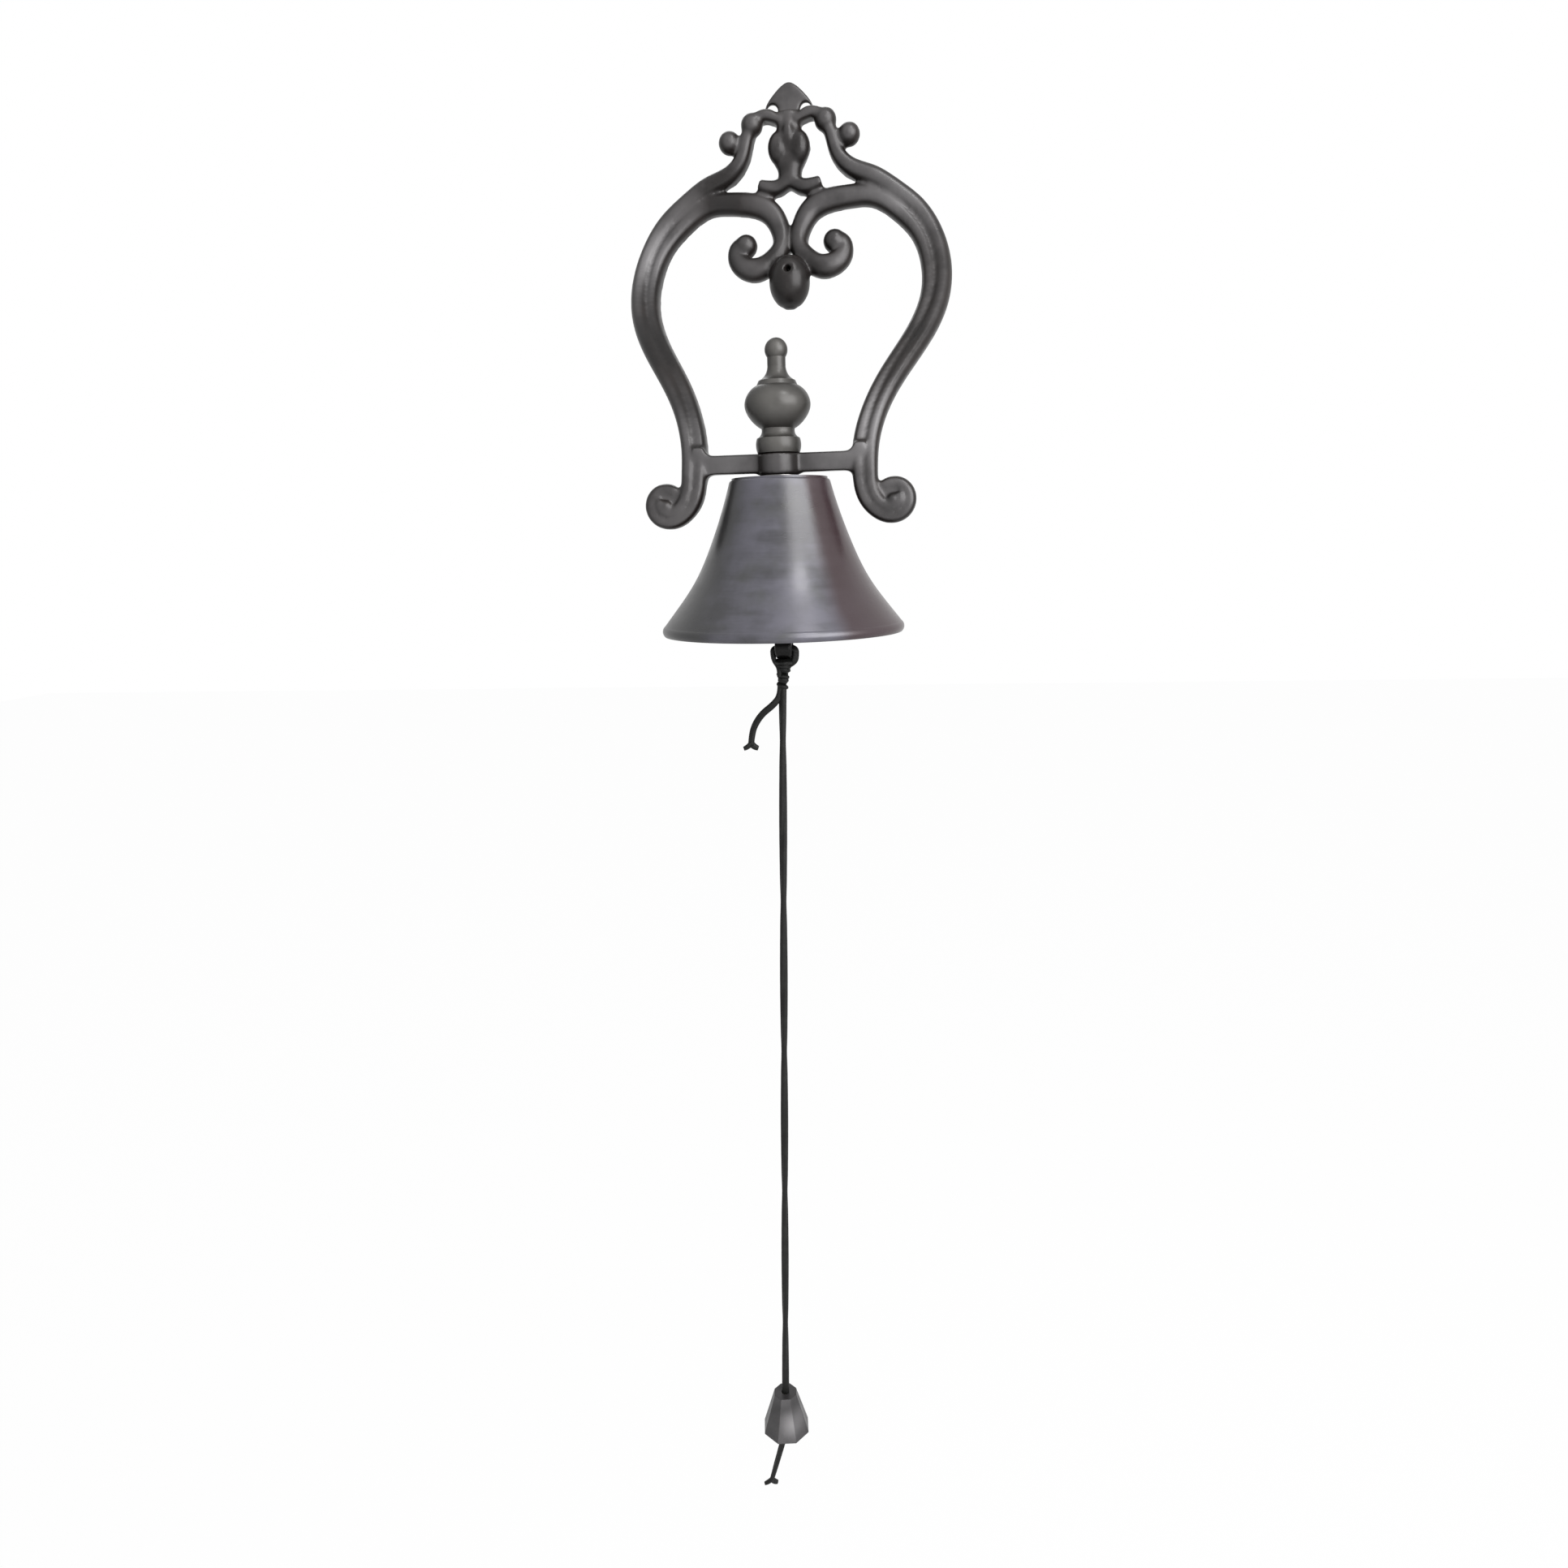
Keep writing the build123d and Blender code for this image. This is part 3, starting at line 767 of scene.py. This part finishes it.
def seenStraight(tree):
    # 1 where the camera, a gloss or glass looks at the floor or the world, 0 where these light the part
    camera = Wire(tree).node("ShaderNodeLightPath", output="Is Camera Ray")
    rays = camera.socket.node.outputs
    return (camera + Wire(tree, rays["Is Glossy Ray"])).math("ADD", Wire(tree, rays["Is Transmission Ray"]),
                                                             clamp=True)


def floorMaterial(studio):
    # white and faintly shadowed from above, and clear from below
    material = bpy.data.materials.new("paleFloor")
    material.use_nodes = True
    tree = material.node_tree
    tree.nodes.clear()
    seen = seenStraight(tree)
    below = seen.node("ShaderNodeNewGeometry", output="Backfacing")
    matt = seen.node("ShaderNodeBsdfDiffuse", {"Color": studio["floorColour"]})
    glow = seen.node("ShaderNodeEmission", {"Color": white, "Strength": 1.0})
    clear = seen.node("ShaderNodeBsdfTransparent")
    above = seen.node("ShaderNodeMixShader", {0: seen * studio["floorWhite"], 1: matt, 2: glow})
    both = seen.node("ShaderNodeMixShader", {0: below, 1: above, 2: clear})
    both.node("ShaderNodeOutputMaterial", {"Surface": both})
    return material


def makeFloor(studio):
    work = bmesh.new()
    bmesh.ops.create_grid(work, x_segments=1, y_segments=1, size=studio["floorSize"] / 2)
    mesh = bpy.data.meshes.new("floor")
    work.to_mesh(mesh)
    work.free()
    mesh.materials.append(floorMaterial(studio))
    floor = bpy.data.objects.new("floor", mesh)
    floor.location.z = cadBox[0][2] - studio["floorDrop"]
    bpy.context.scene.collection.objects.link(floor)


def makeWorld(studio):
    world = bpy.data.worlds.new("studio")
    bpy.context.scene.world = world
    world.use_nodes = True
    tree = world.node_tree
    tree.nodes.clear()
    level = seenStraight(tree).span(0, 1, studio["surround"], 1.0)
    background = level.node("ShaderNodeBackground", {"Color": white, "Strength": level})
    background.node("ShaderNodeOutputWorld", {"Surface": background})


lamps = [
    {"name": "rightStrip", "place": (0.98, -1.02, 0.20), "aim": -0.20, "size": (1.25, 1.3), "power": 39,
     "colour": (1.0, 0.99, 1.0)},
    {"name": "rightOverhead", "place": (0.55, -0.75, 1.00), "aim": -0.24, "size": (0.30, 0.4), "power": 7,
     "colour": (1.0, 1.0, 1.0)},
    {"name": "backHigh", "place": (-0.30, 1.10, 0.95), "aim": -0.20, "size": (0.80, 0.8), "power": 4,
     "colour": (0.98, 0.99, 1.0)},
    {"name": "lowFill", "place": (0.1, -1.2, -1.0), "aim": -0.5, "size": (1.0, 0.6), "power": 1.5,
     "colour": (1.0, 1.0, 1.0)},
]


def makeLamp(lamp):
    data = bpy.data.lights.new(lamp["name"], "AREA")
    data.shape = "RECTANGLE"
    data.size, data.size_y = lamp["size"]
    data.energy = lamp["power"]
    data.color = lamp["colour"]
    thing = bpy.data.objects.new(lamp["name"], data)
    thing.location = lamp["place"]
    aim = Vector((0, axisY, lamp["aim"])) - Vector(lamp["place"])
    thing.rotation_euler = aim.to_track_quat("-Z", "Y").to_euler()
    bpy.context.scene.collection.objects.link(thing)


makeFloor(studioSettings)
makeWorld(studioSettings)
for settings in lamps:
    makeLamp(settings)
bpy.context.scene.view_settings.view_transform = "Standard"
print("studio lit")
